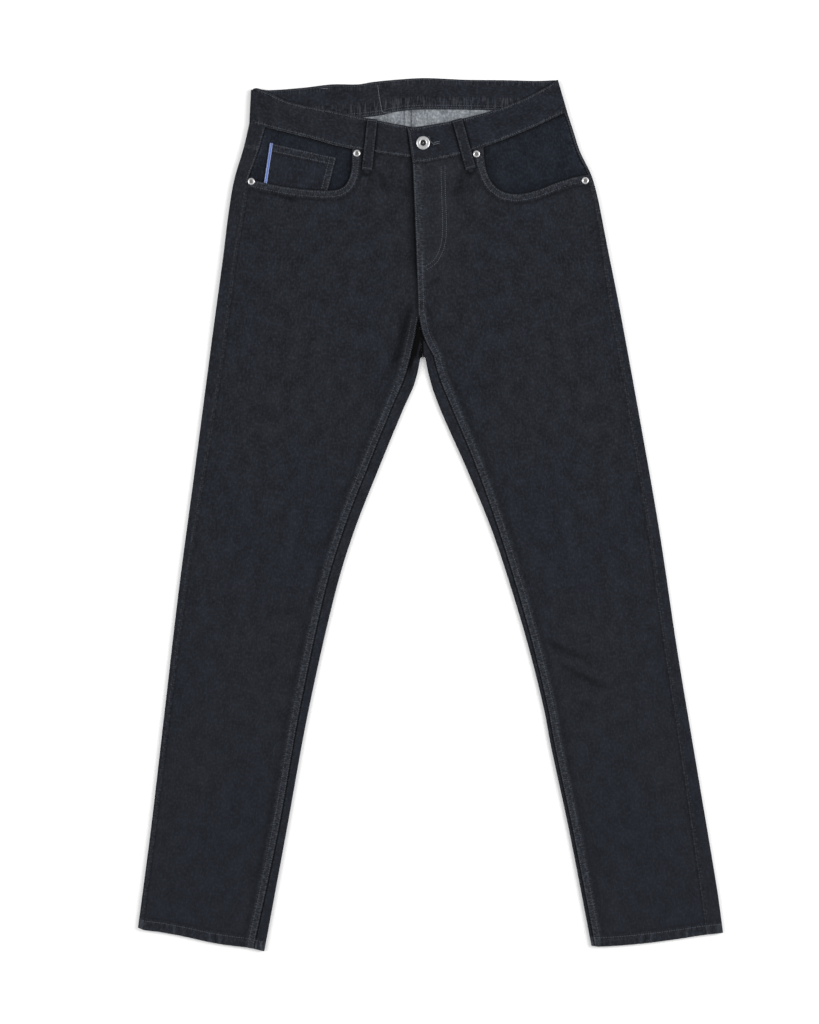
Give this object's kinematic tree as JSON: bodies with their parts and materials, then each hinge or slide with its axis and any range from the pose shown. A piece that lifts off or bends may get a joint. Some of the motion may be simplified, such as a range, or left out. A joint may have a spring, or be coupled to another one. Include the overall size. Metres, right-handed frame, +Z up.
{
  "type": "selvedge jeans",
  "caption": "Straight-leg dark denim jeans laid flat, front up, buttoned at the waist, legs spread, with a coin pocket and belt loops.",
  "frame": {"origin": "under the middle of the whole outline, on the surface that the jeans lie on", "axes": "+Y from the hems to the waist, +Z up out of the front, +X to the wearer's left side"},
  "size_m": [0.7597, 1.1337, 0.0128],
  "materials": {
    "denim": "raw dark indigo denim, matt, pale grey reverse",
    "metal": "satin nickel"
  },
  "bodies": {
    "root": {"right_front": "denim", "left_front": "denim", "right_back": "denim", "left_back": "denim", "right_yoke": "denim", "left_yoke": "denim", "waistband": "denim", "right_pocket_facing": "denim", "left_pocket_facing": "denim", "coin_pocket": "denim", "right_back_pocket": "denim", "left_back_pocket": "denim", "front_right_belt_loop": "denim", "front_left_belt_loop": "denim", "back_right_belt_loop": "denim", "back_left_belt_loop": "denim", "back_centre_belt_loop": "denim", "button": "metal", "right_inner_rivet": "metal", "left_inner_rivet": "metal", "right_outer_rivet": "metal", "left_outer_rivet": "metal"}
  },
  "joints": []
}
